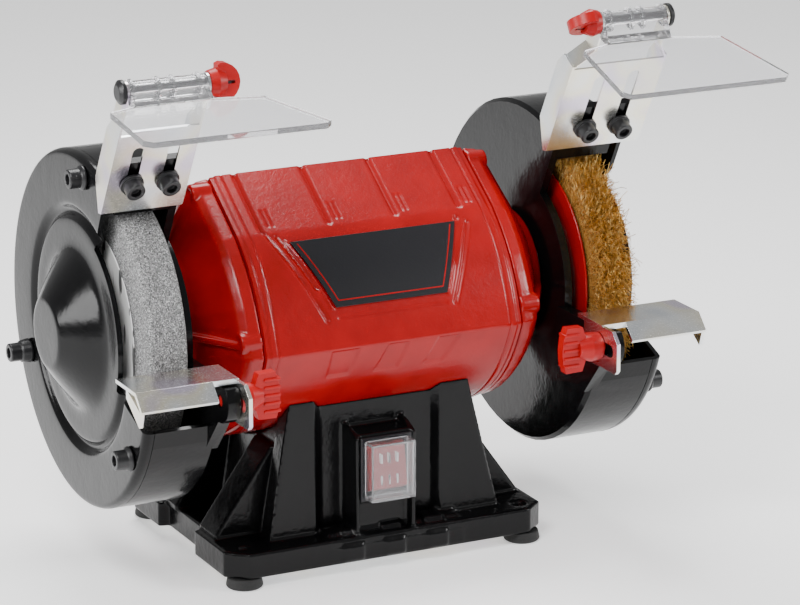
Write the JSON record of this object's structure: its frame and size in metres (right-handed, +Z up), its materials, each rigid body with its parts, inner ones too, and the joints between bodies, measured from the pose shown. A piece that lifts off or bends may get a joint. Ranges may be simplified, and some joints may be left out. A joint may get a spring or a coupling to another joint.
{
  "type": "bench grinder",
  "caption": "Double-ended bench grinder with a grinding wheel, a wire brush wheel, guards, eye shields, tool rests and a footed base.",
  "frame": {"origin": "on the bench surface, under the middle of the grinder's outline", "axes": "+X along the shaft from the grinding wheel to the brush, -Y to the operator, +Z up"},
  "size_m": [0.3575, 0.2276, 0.2887],
  "materials": {
    "red_housing": "gloss enamel",
    "black_base": "gloss enamel on cast metal",
    "black_guard": "gloss enamel on sheet steel",
    "zinc_plate": "bright zinc plate",
    "bright_steel": "turned steel",
    "black_oxide": "black oxide",
    "laminated_iron": "stacked laminations",
    "copper_winding": "enamelled copper wire",
    "grinding_stone": "coarse grey abrasive",
    "paper_label": "matt",
    "brass_wire": "crimped wire",
    "red_disc": "gloss enamel",
    "clear_polycarbonate": "clear",
    "red_plastic": "satin",
    "black_plastic": "satin",
    "rubber": "matt",
    "capacitor_can": "matt"
  },
  "bodies": {
    "housing": {"motor_housing": "red_housing", "end_bell_left": "red_housing", "end_bell_right": "red_housing", "base_casting": "black_base", "wheel_guard_left": "black_guard", "wheel_guard_right": "black_guard", "guard_cover_left": "black_guard", "guard_cover_right": "black_guard", "bottom_plate": "zinc_plate", "bearing_outer_left": "bright_steel", "bearing_outer_right": "bright_steel", "cover_screw_top_left": "black_oxide", "cover_screw_rear_left": "black_oxide", "cover_screw_lower_left": "black_oxide", "cover_screw_top_right": "black_oxide", "cover_screw_rear_right": "black_oxide", "cover_screw_lower_right": "black_oxide", "bracket_screw_inner_left": "black_oxide", "bracket_screw_outer_left": "black_oxide", "bracket_screw_inner_right": "black_oxide", "bracket_screw_outer_right": "black_oxide", "stator_core": "laminated_iron", "winding_left": "copper_winding", "winding_right": "copper_winding", "switch_cover": "clear_polycarbonate", "switch_bezel": "black_plastic", "cable_gland": "black_plastic", "badge_plate": "black_plastic", "foot_front_left": "rubber", "foot_front_right": "rubber", "foot_rear_left": "rubber", "foot_rear_right": "rubber", "capacitor": "capacitor_can"},
    "rotor": {"shaft": "bright_steel", "rotor_core": "laminated_iron", "bearing_inner_left": "bright_steel", "bearing_inner_right": "bright_steel", "grinding_wheel": "grinding_stone", "wheel_label": "paper_label", "wheel_flange_inner": "bright_steel", "wheel_flange_outer": "bright_steel", "wheel_nut": "bright_steel", "brush_bristles": "brass_wire", "brush_discs": "red_disc", "brush_flange_inner": "bright_steel", "brush_flange_outer": "bright_steel", "brush_nut": "bright_steel"},
    "spark_guard_left": {"spark_bracket_left": "zinc_plate", "shield_bolt_left": "black_oxide"},
    "shield_left": {"eye_shield_left": "clear_polycarbonate"},
    "shield_knob_left": {"shield_knob_left": "red_plastic"},
    "rest_left": {"tool_rest_left": "zinc_plate"},
    "rest_knob_left": {"rest_knob_left": "red_plastic"},
    "spark_guard_right": {"spark_bracket_right": "zinc_plate", "shield_bolt_right": "black_oxide"},
    "shield_right": {"eye_shield_right": "clear_polycarbonate"},
    "shield_knob_right": {"shield_knob_right": "red_plastic"},
    "rest_right": {"tool_rest_right": "zinc_plate"},
    "rest_knob_right": {"rest_knob_right": "red_plastic"},
    "switch_rocker": {"switch_rocker": "red_plastic"}
  },
  "joints": [
    {"name": "rotor_spin", "type": "hinge", "parent": "housing", "child": "rotor", "pos_m": [-0.014, 0.0208, 0.131], "axis": [1, 0, 0], "continuous": true},
    {"name": "spark_guard_slide_left", "type": "slide", "parent": "housing", "child": "spark_guard_left", "axis": [0, -0.5, 0.866], "range_m": [-0.005, 0.0045]},
    {"name": "shield_tilt_left", "type": "hinge", "parent": "spark_guard_left", "child": "shield_left", "pos_m": [-0.142, -0.05344, 0.27058], "axis": [1, 0, 0], "range_deg": [-60, 45]},
    {"name": "shield_knob_turn_left", "type": "hinge", "parent": "spark_guard_left", "child": "shield_knob_left", "pos_m": [-0.114, -0.05344, 0.27058], "axis": [1, 0, 0], "range_deg": [-180, 180]},
    {"name": "rest_slide_left", "type": "slide", "parent": "housing", "child": "rest_left", "axis": [0, -1, 0], "range_m": [-0.001, 0.0085]},
    {"name": "rest_knob_turn_left", "type": "hinge", "parent": "housing", "child": "rest_knob_left", "pos_m": [-0.104, -0.0782, 0.116], "axis": [1, 0, 0], "range_deg": [-180, 180]},
    {"name": "spark_guard_slide_right", "type": "slide", "parent": "housing", "child": "spark_guard_right", "axis": [0, -0.4848, 0.8746], "range_m": [-0.005, 0.004]},
    {"name": "shield_tilt_right", "type": "hinge", "parent": "spark_guard_right", "child": "shield_right", "pos_m": [0.114, -0.05608, 0.28104], "axis": [1, 0, 0], "range_deg": [-60, 34]},
    {"name": "shield_knob_turn_right", "type": "hinge", "parent": "spark_guard_right", "child": "shield_knob_right", "pos_m": [0.086, -0.05608, 0.28104], "axis": [1, 0, 0], "range_deg": [-180, 180]},
    {"name": "rest_slide_right", "type": "slide", "parent": "housing", "child": "rest_right", "axis": [0, -1, 0], "range_m": [-0.001, 0.0085]},
    {"name": "rest_knob_turn_right", "type": "hinge", "parent": "housing", "child": "rest_knob_right", "pos_m": [0.076, -0.0782, 0.116], "axis": [1, 0, 0], "range_deg": [-180, 180]},
    {"name": "switch_rock", "type": "hinge", "parent": "housing", "child": "switch_rocker", "pos_m": [-0.0168, -0.0382, 0.055], "axis": [1, 0, 0], "range_deg": [0, 14]}
  ]
}
